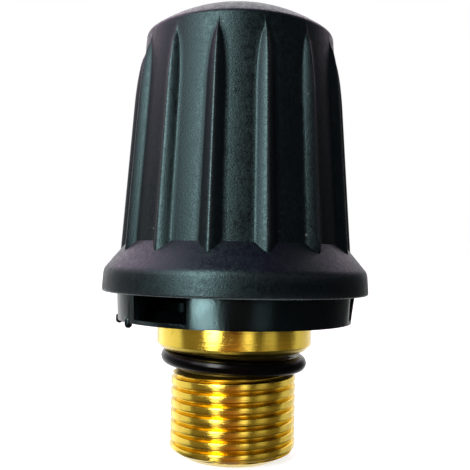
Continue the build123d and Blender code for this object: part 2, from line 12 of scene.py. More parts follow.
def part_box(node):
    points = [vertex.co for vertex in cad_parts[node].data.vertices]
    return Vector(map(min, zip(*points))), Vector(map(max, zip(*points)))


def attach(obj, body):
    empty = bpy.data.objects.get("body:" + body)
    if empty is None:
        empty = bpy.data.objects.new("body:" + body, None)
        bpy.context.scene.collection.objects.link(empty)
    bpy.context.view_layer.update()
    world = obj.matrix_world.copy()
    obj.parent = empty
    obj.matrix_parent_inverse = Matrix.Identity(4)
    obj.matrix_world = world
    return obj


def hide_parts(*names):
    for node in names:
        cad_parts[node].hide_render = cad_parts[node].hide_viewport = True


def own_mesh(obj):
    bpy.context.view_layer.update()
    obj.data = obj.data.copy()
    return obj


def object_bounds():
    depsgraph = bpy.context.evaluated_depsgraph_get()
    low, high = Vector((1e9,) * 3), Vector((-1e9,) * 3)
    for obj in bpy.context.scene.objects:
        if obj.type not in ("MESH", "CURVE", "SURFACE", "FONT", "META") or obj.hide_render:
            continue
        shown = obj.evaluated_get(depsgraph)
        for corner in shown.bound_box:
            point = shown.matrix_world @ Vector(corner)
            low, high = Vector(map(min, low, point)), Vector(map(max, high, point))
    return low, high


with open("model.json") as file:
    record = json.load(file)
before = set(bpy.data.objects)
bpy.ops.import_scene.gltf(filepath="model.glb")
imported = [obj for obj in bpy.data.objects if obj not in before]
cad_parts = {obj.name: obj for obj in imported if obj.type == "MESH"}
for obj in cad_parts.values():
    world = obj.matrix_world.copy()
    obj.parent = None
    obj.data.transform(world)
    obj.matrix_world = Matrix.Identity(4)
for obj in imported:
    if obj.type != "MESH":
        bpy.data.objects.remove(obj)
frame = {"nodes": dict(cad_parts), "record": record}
CAD_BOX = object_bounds()
MM = 0.001


def node_box(node):
    """Lowest and highest corner of a node, in millimetres."""
    low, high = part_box(node)
    return low / MM, high / MM


KNOB_LOW, KNOB_HIGH = node_box("knob_shell")
PLUG_LOW, PLUG_HIGH = node_box("plug_body")

# Knob outside
DOME_APEX = KNOB_HIGH.z
DOME_RADIUS = 26.2
DOME_CENTRE = DOME_APEX - DOME_RADIUS
RIM_RADIUS = 15.9
RIM_HEIGHT = DOME_CENTRE + math.sqrt(DOME_RADIUS ** 2 - RIM_RADIUS ** 2)
RIM_FILLET = 0.9
FOOT_RADIUS = 18.32
FOOT_HEIGHT = 17.55
SHOULDER_RADIUS = 22.12
SHOULDER_HEIGHT = 13.05
SHOULDER_FILLET = 1.9
FLANGE_RADIUS = 22.36
FLANGE_BOTTOM = KNOB_LOW.z
FLANGE_EDGE = 0.35
LIP_EDGE = 0.2
# How far the radius grows for each millimetre down
BODY_SLOPE = (FOOT_RADIUS - RIM_RADIUS) / (RIM_HEIGHT - FOOT_HEIGHT)
CONE_SLOPE = (SHOULDER_RADIUS - FOOT_RADIUS) / (FOOT_HEIGHT - SHOULDER_HEIGHT)
# Height where the cone leaves the fillet of the shoulder
CONE_BASE = SHOULDER_HEIGHT + SHOULDER_FILLET * 0.45
# Knob inside
KNOB_WALL = 2.2
FLANGE_WALL = 1.6
LIP_RADIUS = 20.4
INNER_FOOT_RADIUS = FOOT_RADIUS - KNOB_WALL
TUBE_INNER = 7.2
TUBE_OUTER = 9.6
TUBE_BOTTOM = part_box("knob_bush")[0].z / MM
CEILING_RADII = (12.4, 11.0, TUBE_OUTER)
TUBE_CEILING_RADII = (5.4, 3.6, 1.8, 0.0)
# Rows of points down the knob
DOME_ROWS = 22
RIM_ROWS = 6
BODY_ROWS = 34
CONE_ROWS = 7
SHOULDER_ROWS = 8
# Ribs
RIB_COUNT = 14
RIB_AZIMUTH = -12.0
RIB_TOP = 50.0
RIB_FADE = 9.0
RIB_CREST = 1.22
RIB_LEAST_CREST = 0.22
RIB_TOP_SLOPE = 1.0
RIB_FOOT_SLOPE = 1.34
RIB_BELLY = 0.3
RIB_CREST_SOFTNESS = 0.13
RIB_CREST_SINK = 0.8
RIB_ROOT_SOFTNESS = 0.05
# Columns across one rib, as shares of its half width, and columns across the panel beside it
RIB_STATIONS = (-1.15, -1.0, -0.86, -0.55, -0.27, -0.11, 0.0,
                0.11, 0.27, 0.55, 0.86, 1.0, 1.15)
PANEL_COLUMNS = 8
RIB_COLUMNS = len(RIB_STATIONS) + PANEL_COLUMNS - 1
# A point this near the body's surface counts as outside, and one this near the axis as on it
SKIN = 0.4
ON_AXIS = 0.01
ROUNDING = 0.001
# Places with wear and a painted highlight, both lighter: a crest in shares of the rib's half
# width, its run up from the rib's foot, and the flange's low edge and shoulder, each with its
# height and reach
CREST_WEAR_HIGHLIGHT_SHARE = 0.3
CREST_WEAR_HIGHLIGHT_RUN = 2.0
LOW_EDGE_WEAR_HIGHLIGHT = (FLANGE_BOTTOM + 0.15, 0.35)
SHOULDER_WEAR_HIGHLIGHT = (SHOULDER_HEIGHT - 0.35, 0.7)

# Brass plug
ROUND_STEPS = 96
THREAD_RADIUS = 20.955 / 2
THREAD_PITCH = 25.4 / 14
THREAD_DEPTH = 0.84
THREAD_FLAT = 1.05
THREAD_FLANK = math.tan(math.radians(20))
THREAD_EASE = 0.07
THREAD_BOTTOM = PLUG_LOW.z
# The helix starts below the spigot and is trimmed to it
THREAD_START = THREAD_BOTTOM - 1.2 * THREAD_PITCH
THREAD_END_RISE = 1.35
THREAD_END_DEPTH = 2.3
NECK_RADIUS = 9.2
NECK_BOTTOM = -3.5
NECK_FILLET = 0.12
COLLAR_RADIUS = PLUG_HIGH.x
COLLAR_CHAMFER = 0.95
COLLAR_HEIGHT = 5.3
COLLAR_EDGE = 0.15
HUB_RADIUS = 9.0
HUB_TOP = PLUG_HIGH.z
HUB_EDGE = 0.2
GUIDE_RADIUS = 7.2
GUIDE_FLOOR = 12.6
BORE_RADIUS = 6.0
BORE_FLOOR = 2.0
INLET_RADIUS = 4.0
INLET_CHAMFER = 0.6

# Sealing ring, which sits slightly askew
RING_RADIUS = 1.31
RING_MIDDLE = 10.98
RING_TILT = 2.4
RING_FLASH = 0.035
RING_POINTS = 40
RING_STEPS = 120

# Springs: piece, body, wire diameter and turns
SPRINGS = {
    "lift_spring": ("lift_coil", "plug", 1.0, 3.5),
    "relief_spring": ("relief_coil", "cartridge", 0.7, 9.0),
}
CLOSED_TURNS = 0.75
WIRE_POINTS = 14
TURN_STEPS = 48

# Skirt, and the two studs below its left side
SKIRT_EDGE = 0.12
SKIRT_SHARP = math.radians(30)
SKIRT_FLAT = math.radians(1)
NUB_AZIMUTHS = (-84.0, -58.5)
NUB_CIRCLE = 19.35
NUB_RADIUS = 0.6
NUB_TOP = 5.2
NUB_BOTTOM = 3.9
NUB_STEPS = 24
NUB_ROWS = 6

# Camera, with its place in millimetres and its lens in pixels of the photograph
CAMERA_DISTANCE = 117.24
CAMERA_HEIGHT = 15.18
CAMERA_SIDE = -0.2
CAMERA_PITCH = math.radians(1.9)
CAMERA_ROLL = 0.0207
SENSOR_WIDTH = 36
FOCAL_PIXELS = 686.0
PHOTO_WIDTH = 470

# Light of the room in two bands: grey or coloured stops at azimuths from the front
LOW = (
    (-180, 0.9), (-150, 1.1), (-120, 0.32), (-90, 0.08), (-60, 0.05),
    (-20, (0.08, 0.025, 0.014)), (12, (0.08, 0.025, 0.014)), (30, 0.03), (60, 0.04),
    (100, 0.03), (138, 0.10), (160, 0.9), (180, 0.9),
)
HIGH = (
    (-180, 1.7), (-140, (2.6, 1.9, 2.4)), (-100, (1.7, 1.15, 1.5)), (-70, (0.5, 0.3, 0.45)),
    (-50, 0.10), (0, 0.04), (72, 0.03), (110, 0.15), (128, (0.9, 0.7, 0.85)),
    (145, (2.0, 1.6, 1.9)), (180, 1.7),
)
ZENITH = (0.14, 0.03, 0.22, 1)
# Where the low band gives way to the high one, and that to the zenith, as sines of the elevation
LOW_TO_HIGH = (0.25, 0.5)
HIGH_TO_ZENITH = (0.84, 0.98)
FLOOR_GLOW = 0.76
FLOOR_RADIUS = 6000
FLOOR_GAP = 0.02
FLOOR_STEPS = 96

# Lamps by what they light: name, azimuth, elevation, width and height, strength, and any colour
LAMP_DISTANCE = 240
LAMP_AIM = (0, 0, 20)
WHITE = (1, 1, 1)
AMBER = (1, 0.75, 0.35)
COPPER = (1, 0.5, 0.3)
LAMPS = {
    "all": (
        ("key", -29.5, 20, (80, 270), 11.0),
        ("side", -54, 27, (100, 190), 2.2),
    ),
    "shell": (
        ("bounce", 0, -88, (300, 300), 1.3),
    ),
    "cup": (
        ("cup_key", -27, -20, (84, 130), 11.0),
        ("cup_strip", 24, -18, (60, 130), 0.5),
        ("cup_side", -88, -10, (100, 160), 0.7),
    ),
    "brass": (
        ("low_key", -30, -24, (46, 140), 1.8),
        ("left_card", -112, -6, (290, 200), 0.85),
        ("left_fill", -62, -8, (140, 200), 0.14, AMBER),
        ("front_fill", 0, -24, (150, 90), 0.25, COPPER),
        ("top_fill", 0, 45, (400, 120), 0.5),
        ("right_strip", 20, -6, (50, 150), 1.4),
        ("right_fill", 52, -6, (80, 150), 0.4),
        ("low_fill", 50, -22, (480, 130), 0.14, AMBER),
        ("right_card", 124, -6, (250, 200), 0.65),
    ),
}


def add_object(name, data):
    made = bpy.data.objects.new(name, data)
    bpy.context.scene.collection.objects.link(made)
    return made


# Camera and lamps

def make_camera():
    data = bpy.data.cameras.new("camera")
    data.sensor_width = SENSOR_WIDTH
    data.lens = SENSOR_WIDTH * FOCAL_PIXELS / PHOTO_WIDTH
    data.clip_start = MM
    camera = add_object("camera", data)
    ahead = Vector((0, math.cos(CAMERA_PITCH), math.sin(CAMERA_PITCH)))
    above = Vector((0, -math.sin(CAMERA_PITCH), math.cos(CAMERA_PITCH)))
    right = Vector((1, 0, 0))
    tilted_right = right * math.cos(CAMERA_ROLL) + above * math.sin(CAMERA_ROLL)
    tilted_above = above * math.cos(CAMERA_ROLL) - right * math.sin(CAMERA_ROLL)
    turn = Matrix((tilted_right, tilted_above, -ahead)).transposed().to_4x4()
    place = Matrix.Translation(Vector((CAMERA_SIDE, -CAMERA_DISTANCE, CAMERA_HEIGHT)) * MM)
    camera.matrix_world = place @ turn
    bpy.context.scene.camera = camera


def make_softbox(only, name, azimuth, elevation, size, strength, tint=WHITE):
    """A rectangular lamp at an azimuth from the front, aimed at the middle of the cap."""
    data = bpy.data.lights.new(name, "AREA")
    data.shape = "RECTANGLE"
    data.size, data.size_y = size[0] * MM, size[1] * MM
    data.energy = strength * data.size * data.size_y * math.pi
    data.color = tint
    lamp = add_object(name, data)
    lamp.light_linking.receiver_collection = only
    turn, lift = math.radians(azimuth), math.radians(elevation)
    level = math.cos(lift)
    away = Vector((math.sin(turn) * level, -math.cos(turn) * level, math.sin(lift)))
    lamp.location = (Vector(LAMP_AIM) + away * LAMP_DISTANCE) * MM
    lamp.rotation_euler = away.to_track_quat("Z", "Y").to_euler()


def make_lamps(lit_alone):
    """Makes the lamps; those of a group in lit_alone light its piece only."""
    for group, lamps in LAMPS.items():
        only = None
        if group in lit_alone:
            only = bpy.data.collections.new(group)
            only.objects.link(lit_alone[group])
        for lamp in lamps:
            make_softbox(only, *lamp)


# Shader maths

class Field:
    """A value that changes over a surface: a node's output, with arithmetic."""

    def __init__(self, tree, socket):
        self.tree = tree
        self.socket = socket

    def calculate(self, operation, first, second=0.0):
        node = self.tree.nodes.new("ShaderNodeMath")
        node.operation = operation
        for slot, value in zip(node.inputs, (first, second)):
            feed(self.tree, slot, value)
        return Field(self.tree, node.outputs[0])

    def __add__(self, other):
        return self.calculate("ADD", self, other)

    def __radd__(self, other):
        return self.calculate("ADD", other, self)

    def __sub__(self, other):
        return self.calculate("SUBTRACT", self, other)

    def __mul__(self, other):
        return self.calculate("MULTIPLY", self, other)

    def clamped(self):
        low = self.calculate("MAXIMUM", self, 0.0)
        return self.calculate("MINIMUM", low, 1.0)


def feed(tree, slot, value):
    """Links a field to a socket, or sets the socket to a plain value."""
    if isinstance(value, Field):
        tree.links.new(value.socket, slot)
    else:
        slot.default_value = value


class Nodes:
    """Makes the nodes of one tree, around one set of coordinates."""

    def __init__(self, tree, coordinates):
        self.tree = tree
        self.place = self.node("ShaderNodeTexCoord", output=coordinates)

    def node(self, kind, settings=None, inputs=None, output=0):
        made = self.tree.nodes.new(kind)
        for key, value in (settings or {}).items():
            if key == "stops":
                while len(made.color_ramp.elements) < len(value):
                    made.color_ramp.elements.new(1.0)
                for element, (position, shade) in zip(made.color_ramp.elements, value):
                    element.position = position
                    element.color = shade
            else:
                setattr(made, key, value)
        for key, value in (inputs or {}).items():
            feed(self.tree, made.inputs[key], value)
        return Field(self.tree, made.outputs[output])

    def height(self):
        return self.node("ShaderNodeSeparateXYZ", None, {"Vector": self.place}, 2)

    def stretched(self, scale):
        """The coordinates, scaled along X, Y and Z."""
        return self.node("ShaderNodeMapping", {"vector_type": "POINT"},
                         {"Vector": self.place, "Scale": scale})

    def noise(self, scale, detail=2.0, roughness=0.5, where=None):
        """Noise with its scale in waves for each metre."""
        inputs = {"Vector": where or self.place, "Scale": scale,
                  "Detail": detail, "Roughness": roughness}
        return self.node("ShaderNodeTexNoise", None, inputs, "Fac")

    def between(self, field, low, high):
        """A field stretched so that low becomes 0 and high becomes 1."""
        return self.node("ShaderNodeMapRange", {"clamp": True},
                         {"Value": field, "From Min": low, "From Max": high}, 0)

    def mix(self, share, first, second):
        """A colour between two colours."""
        return self.node("ShaderNodeMix", {"data_type": "RGBA"},
                         {0: share, 6: first, 7: second}, 2)

    def attribute(self, name):
        return self.node("ShaderNodeAttribute", {"attribute_name": name}, None, "Fac")

    def bump(self, height, strength, distance):
        """A normal from a height, with its distance in millimetres."""
        inputs = {"Height": height, "Strength": strength, "Distance": distance * MM}
        return self.node("ShaderNodeBump", None, inputs)


class Finish(Nodes):
    """A material under construction on one Principled shader."""

    def __init__(self, name):
        self.material = bpy.data.materials.new(name)
        self.material.use_nodes = True
        super().__init__(self.material.node_tree, "Object")
        self.shader = self.tree.nodes["Principled BSDF"]

    def wear(self, **sockets):
        """Sets the shader's sockets, with underscores for the spaces in their names."""
        for name, value in sockets.items():
            feed(self.tree, self.shader.inputs[name.replace("_", " ")], value)
        return self.material


def colour(red, green, blue):
    return (red, green, blue, 1.0)


# Finishes

SHEEN_OF_PLASTIC = colour(0.59, 0.97, 1.0)


def black_moulding():
    """Black plastic with a spark-eroded grain, smoother from wear on crests and edges, which are
    also painted lighter as a highlight.
    """
    finish = Finish("black_moulding")
    fine = finish.noise(6500, 2.0, 0.6)
    grain = finish.noise(3600, 2.0, 0.6)
    mottle = finish.noise(1300, 2.0, 0.7)
    patches = finish.noise(120, 3.0, 0.6)
    speck = finish.between(finish.noise(900, 1.0, 0.5), 0.80, 0.83)
    rubbed = finish.attribute("rubbed")
    tint = finish.mix(grain, colour(0.0006, 0.0009, 0.0016), colour(0.0020, 0.0026, 0.0034))
    # Crests and flange edges painted lighter: partly wear, partly a painted highlight
    worn_and_highlit = finish.mix(rubbed * 0.5, tint, colour(0.025, 0.028, 0.03))
    base = finish.mix(speck * 0.5, worn_and_highlit, colour(0.12, 0.12, 0.12))
    normal = finish.bump(fine * 0.6 + grain, 0.6, 0.05)
    clouded = 0.40 + (patches - 0.5) * 0.16 + (mottle - 0.5) * 0.45
    gloss = clouded + (grain - 0.5) * 0.25 - rubbed * 0.12
    return finish.wear(Base_Color=base, Roughness=gloss.clamped(), Normal=normal, IOR=1.5,
                       Specular_Tint=SHEEN_OF_PLASTIC)


def smooth_moulding():
    """Black plastic with an as-moulded satin face and faint flow marks."""
    finish = Finish("smooth_moulding")
    flow = finish.noise(300, 3.0, 0.55, finish.stretched((1, 1, 0.35)))
    fine = finish.noise(2600, 2.0, 0.5)
    base = finish.mix(flow, colour(0.0006, 0.0008, 0.0010), colour(0.0018, 0.0024, 0.0028))
    normal = finish.bump(fine * 0.3 + flow, 0.5, 0.08)
    return finish.wear(Base_Color=base, Roughness=(0.17 + flow * 0.10), Normal=normal, IOR=1.5,
                       Specular_Tint=SHEEN_OF_PLASTIC)


def turned_brass():
    """Bright turned brass: lathe rings along Z, dull patches, and painted shade on the neck below
    the collar.
    """
    finish = Finish("turned_brass")
    rings = finish.noise(1.0, 2.0, 0.6, finish.stretched((60, 60, 7000)))
    broad = finish.noise(1.0, 2.0, 0.5, finish.stretched((25, 25, 1500)))
    patches = finish.noise(260, 3.0, 0.6)
    height = finish.height()
    above_thread = finish.between(height, (NECK_BOTTOM - 0.9) * MM, (NECK_BOTTOM + 0.1) * MM)
    # Painted shade: the neck between the thread and the collar, behind the sealing ring, is darker
    # and rougher
    neck = above_thread * finish.between(height, 0.3 * MM, -0.3 * MM)
    grime = finish.between(finish.noise(520, 3.0, 0.6), 0.55, 0.8)
    tone = finish.mix(patches, colour(0.88, 0.67, 0.11), colour(0.80, 0.55, 0.06))
    dulled = finish.mix(grime * 0.3, tone, colour(0.38, 0.22, 0.03))
    # The neck is darkened with painted shade
    base = finish.mix(neck * 0.9, dulled, colour(0.03, 0.022, 0.012))
    normal = finish.bump(rings + broad * 0.6, 0.6, 0.04)
    gloss = 0.14 + patches * 0.10 + grime * 0.10 + neck * 0.3
    return finish.wear(Base_Color=base, Metallic=1.0, Roughness=gloss, Normal=normal)


def glossy_rubber():
    """Oiled black rubber with a faint mould texture."""
    finish = Finish("glossy_rubber")
    patches = finish.noise(350, 3.0, 0.55)
    fine = finish.noise(2600, 2.0, 0.5)
    base = finish.mix(patches, colour(0.0005, 0.0005, 0.0007), colour(0.0012, 0.0012, 0.0014))
    normal = finish.bump(fine * 0.4 + patches, 0.2, 0.05)
    return finish.wear(Base_Color=base, Roughness=(0.16 + patches * 0.12), Normal=normal,
                       Specular_IOR_Level=0.24)


def drawn_steel():
    """Bright drawn wire and pins with fine draw marks."""
    finish = Finish("drawn_steel")
    marks = finish.noise(2400, 3.0, 0.6)
    patches = finish.noise(400, 2.0, 0.5)
    base = finish.mix(patches, colour(0.62, 0.61, 0.58), colour(0.48, 0.47, 0.45))
    normal = finish.bump(marks, 0.2, 0.02)
    return finish.wear(Base_Color=base, Metallic=1.0, Roughness=(0.2 + marks * 0.14),
                       Normal=normal)


def zinc_plate():
    """Bright zinc plating with a faint blue cloud."""
    finish = Finish("zinc_plate")
    clouds = finish.noise(600, 3.0, 0.6)
    base = finish.mix(clouds, colour(0.66, 0.69, 0.73), colour(0.55, 0.57, 0.56))
    normal = finish.bump(clouds, 0.15, 0.02)
    return finish.wear(Base_Color=base, Metallic=1.0, Roughness=(0.24 + clouds * 0.16),
                       Normal=normal)


def ivory_bearing():
    """Ivory bearing plastic with a waxy surface."""
    finish = Finish("ivory_bearing")
    clouds = finish.noise(500, 3.0, 0.5)
    fine = finish.noise(3200, 2.0, 0.5)
    base = finish.mix(clouds, colour(0.74, 0.70, 0.58), colour(0.66, 0.61, 0.48))
    normal = finish.bump(fine, 0.2, 0.03)
    return finish.wear(Base_Color=base, Roughness=(0.34 + clouds * 0.12), Normal=normal,
                       IOR=1.48)


MATERIALS = {
    "knob_plastic": black_moulding(),
    "skirt_plastic": smooth_moulding(),
    "yellow_brass": turned_brass(),
    "black_rubber": glossy_rubber(),
    "spring_steel": drawn_steel(),
    "zinc_steel": zinc_plate(),
    "pale_bearing_plastic": ivory_bearing(),
}


# Mesh helpers

def weld(mesh, reach):
    bmesh.ops.remove_doubles(mesh, verts=mesh.verts, dist=reach)


def add_section(mesh, outline, closed=False):
    """Points and edges of an outline of (radius, height) points."""
    points = [mesh.verts.new((radius, 0, height)) for radius, height in outline]
    edges = [mesh.edges.new(pair) for pair in zip(points, points[1:])]
    if closed:
        edges.append(mesh.edges.new((points[-1], points[0])))
    return points + edges


def sweep(mesh, section, turns, steps, rise=0.0, closed=False):
    """Turns a section about Z, rising at each step, and gives the section at the end."""
    swept = bmesh.ops.spin(mesh, geom=section, cent=(0, 0, 0), axis=(0, 0, 1),
                           dvec=(0, 0, rise), angle=math.tau * turns, steps=steps,
                           use_merge=closed, use_duplicate=False)
    return swept["geom_last"]


def turned_mesh(outline, steps):
    """A bmesh turned about Z from (radius, height) points; ends on the axis are closed."""
    mesh = bmesh.new()
    sweep(mesh, add_section(mesh, outline), 1, steps, closed=True)
    weld(mesh, 0.0005)
    return mesh


def absorb(mesh, other):
    """Adds another bmesh to a bmesh, and frees it."""
    data = bpy.data.meshes.new("absorbed")
    other.to_mesh(data)
    other.free()
    mesh.from_mesh(data)
    bpy.data.meshes.remove(data)


def arc(centre, radius, start, end, count):
    """Points on an arc in the (radius, height) plane, with angles in degrees from +radius."""
    points = []
    for index in range(count + 1):
        angle = math.radians(start + (end - start) * index / count)
        points.append((centre[0] + radius * math.cos(angle), centre[1] + radius * math.sin(angle)))
    return points


def rounded(before, corner, after, radius, count=4):
    """Points of a fillet that rounds the corner between two straight runs."""
    before, corner, after = Vector(before), Vector(corner), Vector(after)
    arm_in = (before - corner).normalized()
    arm_out = (after - corner).normalized()
    half = arm_in.angle(arm_out) / 2
    middle = corner + (arm_in + arm_out).normalized() * radius / math.sin(half)
    start = corner + arm_in * radius / math.tan(half)
    end = corner + arm_out * radius / math.tan(half)
    points = []
    for index in range(count + 1):
        spoke = (start - middle).lerp(end - middle, index / count)
        points.append(tuple(middle + spoke.normalized() * radius))
    return points


def run(start, end, count):
    """Points between two ends, without the first."""
    start, end = Vector(start), Vector(end)
    return [tuple(start.lerp(end, (index + 1) / count)) for index in range(count)]


def finish_piece(mesh, name, body, slot, nodes, sharp=35):
    """Makes an object from a bmesh in millimetres, creased where its faces turn sharply."""
    bmesh.ops.recalc_face_normals(mesh, faces=mesh.faces)
    bmesh.ops.transform(mesh, matrix=Matrix.Scale(MM, 4), verts=mesh.verts)
    limit = math.radians(sharp)
    for face in mesh.faces:
        face.smooth = True
    for edge in mesh.edges:
        edge.smooth = len(edge.link_faces) == 2 and edge.calc_face_angle(0.0) < limit
    data = bpy.data.meshes.new(name)
    mesh.to_mesh(data)
    mesh.free()
    piece = add_object(name, data)
    data.materials.append(MATERIALS[slot])
    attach(piece, body)
    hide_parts(*nodes)
    return piece


# Knob

def body_radius(height):
    """Radius of the smooth body between the ribs, carried on down past the foot."""
    share = (RIM_HEIGHT - height) / (RIM_HEIGHT - FOOT_HEIGHT)
    return RIM_RADIUS + share * (FOOT_RADIUS - RIM_RADIUS)


def crest_height(height):
    """How far a rib's crest stands above the body."""
    risen = max(0.0, (height - RIB_TOP + RIB_FADE) / RIB_FADE)
    return RIB_CREST * math.sqrt(max(0.0, 1 - risen ** 2))


def rib_half_angle(height):
    """Half of a rib's width, as an angle about the axis."""
    share = (height - FOOT_HEIGHT) / (RIB_TOP - FOOT_HEIGHT)
    slope = RIB_FOOT_SLOPE + share * (RIB_TOP_SLOPE - RIB_FOOT_SLOPE)
    width = slope * max(crest_height(height), RIB_LEAST_CREST)
    return width / body_radius(height)


def rib_profile(share):
    """Height of a rib across its half width: a bellied V with a soft crest and soft roots."""
    softened = math.sqrt(share ** 2 + RIB_CREST_SOFTNESS ** 2)
    fall = softened - RIB_CREST_SOFTNESS * RIB_CREST_SINK
    rise = 1 - (1 - RIB_BELLY) * fall - RIB_BELLY * share ** 2
    return (rise + math.sqrt(rise ** 2 + RIB_ROOT_SOFTNESS ** 2)) / 2


def column_place(column, height):
    """Azimuth of a column in radians from +X, and its share of the rib's half width."""
    period, step = divmod(column, RIB_COLUMNS)
    whole = math.tau / RIB_COUNT
    middle = math.radians(RIB_AZIMUTH - 90) + period * whole
    half = rib_half_angle(height)
    if step < len(RIB_STATIONS):
        share = RIB_STATIONS[step]
        return middle + share * half, share
    edge = RIB_STATIONS[-1] * half
    along = (step - len(RIB_STATIONS) + 1) / PANEL_COLUMNS
    angle = edge + along * (whole - 2 * edge)
    near = min(angle, whole - angle)
    return middle + angle, near / half


def knob_outline():
    """Half section of the knob from the apex, down the outside and back up the inside."""
    dome_end = (RIM_RADIUS, RIM_HEIGHT)
    foot = (FOOT_RADIUS, FOOT_HEIGHT)
    shoulder = (SHOULDER_RADIUS, SHOULDER_HEIGHT)
    widening = SHOULDER_RADIUS - FOOT_RADIUS
    fall = FOOT_HEIGHT - SHOULDER_HEIGHT
    cone_shift = FLANGE_WALL * math.hypot(widening, fall) / fall
    ceiling = DOME_RADIUS - KNOB_WALL

    def under_cone(radius):
        return FOOT_HEIGHT - (radius + cone_shift - FOOT_RADIUS) * fall / widening

    def under_dome(radius):
        return DOME_CENTRE + math.sqrt(ceiling ** 2 - radius ** 2)

    wall_end = (FLANGE_RADIUS, FLANGE_BOTTOM)
    lip = (LIP_RADIUS, FLANGE_BOTTOM)
    lip_top = (LIP_RADIUS, under_cone(LIP_RADIUS))
    inner_foot = (INNER_FOOT_RADIUS, under_cone(INNER_FOOT_RADIUS))
    inner_rim = (RIM_RADIUS - KNOB_WALL, under_dome(RIM_RADIUS - KNOB_WALL))

    rim_angle = math.degrees(math.acos(RIM_RADIUS / DOME_RADIUS))
    tangent_point = (RIM_RADIUS - DOME_RADIUS * math.cos(math.radians(90 - rim_angle)),
                     RIM_HEIGHT + RIM_RADIUS)
    rim = rounded(tangent_point, dome_end, foot, RIM_FILLET, RIM_ROWS)
    stop_angle = math.degrees(math.atan2(rim[0][1] - DOME_CENTRE, rim[0][0]))
    points = arc((0, DOME_CENTRE), DOME_RADIUS, 90, stop_angle, DOME_ROWS)
    points[-1] = rim[0]
    points += rim[1:]
    points += run(rim[-1], foot, BODY_ROWS)
    bend = rounded(foot, shoulder, wall_end, SHOULDER_FILLET, SHOULDER_ROWS)
    points += run(foot, bend[0], CONE_ROWS)
    points += bend[1:]
    edge = rounded(shoulder, wall_end, lip, FLANGE_EDGE, 4)
    points += run(bend[-1], edge[0], 3)
    points += edge[1:]
    inner_edge = rounded(wall_end, lip, lip_top, LIP_EDGE, 3)
    points += run(edge[-1], inner_edge[0], 2)
    points += inner_edge[1:]
    points += run(inner_edge[-1], lip_top, 2)
    points += run(lip_top, inner_foot, 3)
    points += run(inner_foot, inner_rim, 5)
    points += [(radius, under_dome(radius)) for radius in CEILING_RADII]
    points += run(points[-1], (TUBE_OUTER, TUBE_BOTTOM), 3)
    points += run(points[-1], (TUBE_INNER, TUBE_BOTTOM), 1)
    points += run(points[-1], (TUBE_INNER, under_dome(TUBE_INNER)), 3)
    points += [(radius, under_dome(radius)) for radius in TUBE_CEILING_RADII]
    return points


def crest_wear_and_highlight(share, height):
    """How much wear and painted highlight a point near a rib's crest has, from 0 to 1."""
    near = max(0.0, 1 - abs(share) / CREST_WEAR_HIGHLIGHT_SHARE)
    above = min(1.0, max(0.0, height - FOOT_HEIGHT + RIB_CREST) / CREST_WEAR_HIGHLIGHT_RUN)
    return near * above * min(1.0, crest_height(height) / RIB_CREST)


def flange_wear_and_highlight(height):
    """How much wear and painted highlight the flange has: fully at its low edge, by half at its
    shoulder.
    """
    low_edge, shoulder = (max(0.0, 1 - abs(height - middle) / reach)
                          for middle, reach in (LOW_EDGE_WEAR_HIGHLIGHT, SHOULDER_WEAR_HIGHLIGHT))
    return max(low_edge, shoulder * 0.5)


def raise_ribs(mesh):
    """Moves a turned body's points onto the ribs' columns, and its outer points onto the ribs."""
    steps = RIB_COUNT * RIB_COLUMNS
    # Marks crests and flange edges for wear and a painted highlight
    rubbed = mesh.verts.layers.float.new("rubbed")
    top = RIM_HEIGHT - RIM_FILLET
    for point in mesh.verts:
        radius = math.hypot(point.co.x, point.co.y)
        height = point.co.z
        if radius < ON_AXIS:
            continue
        outside = radius > body_radius(height) - SKIN and height > SHOULDER_HEIGHT
        column = round(math.atan2(point.co.y, point.co.x) / math.tau * steps) % steps
        angle, share = column_place(column, max(min(height, RIB_TOP), FOOT_HEIGHT))
        if outside and height < top:
            rib = rib_profile(share)
            foot = FOOT_HEIGHT - RIB_CREST * rib / (CONE_SLOPE - BODY_SLOPE)
            if height >= FOOT_HEIGHT - ROUNDING:
                height = top - (top - height) / (top - FOOT_HEIGHT) * (top - foot)
                radius = body_radius(height) + crest_height(height) * rib
            elif height > CONE_BASE:
                part = (height - CONE_BASE) / (FOOT_HEIGHT - CONE_BASE)
                height = CONE_BASE + part * (foot - CONE_BASE)
                radius = FOOT_RADIUS + (FOOT_HEIGHT - height) * CONE_SLOPE
            point[rubbed] = crest_wear_and_highlight(share, height)
        if outside or height < SHOULDER_HEIGHT:
            point[rubbed] = max(point[rubbed], flange_wear_and_highlight(height))
        point.co = (radius * math.cos(angle), radius * math.sin(angle), height)


def make_knob():
    mesh = turned_mesh(knob_outline(), RIB_COUNT * RIB_COLUMNS)
    raise_ribs(mesh)
    return finish_piece(mesh, "knob", "knob", "knob_plastic", ["knob_shell"], sharp=32)


# Brass plug

def thread_outline():
    """One pitch of the thread from root to root, with eased corners."""
    root = THREAD_RADIUS - THREAD_DEPTH
    half = THREAD_PITCH / 2
    flat_start = half - THREAD_FLAT / 2
    flank_start = flat_start - THREAD_DEPTH * THREAD_FLANK
    below_crest = THREAD_EASE * 1.6
    points = [
        (root, 0.0),
        (root, flank_start - THREAD_EASE / 2),
        (root + THREAD_EASE, flank_start + THREAD_EASE * THREAD_FLANK),
        (root + THREAD_DEPTH / 2, (flank_start + flat_start) / 2),
        (THREAD_RADIUS - below_crest, flat_start - below_crest * THREAD_FLANK),
        (THREAD_RADIUS - THREAD_EASE * 0.3, flat_start + THREAD_EASE * 0.3),
        (THREAD_RADIUS, flat_start + THREAD_EASE * 1.5),
        (THREAD_RADIUS, half),
    ]
    mirror = [(radius, THREAD_PITCH - height) for radius, height in reversed(points[:-1])]
    return points + mirror


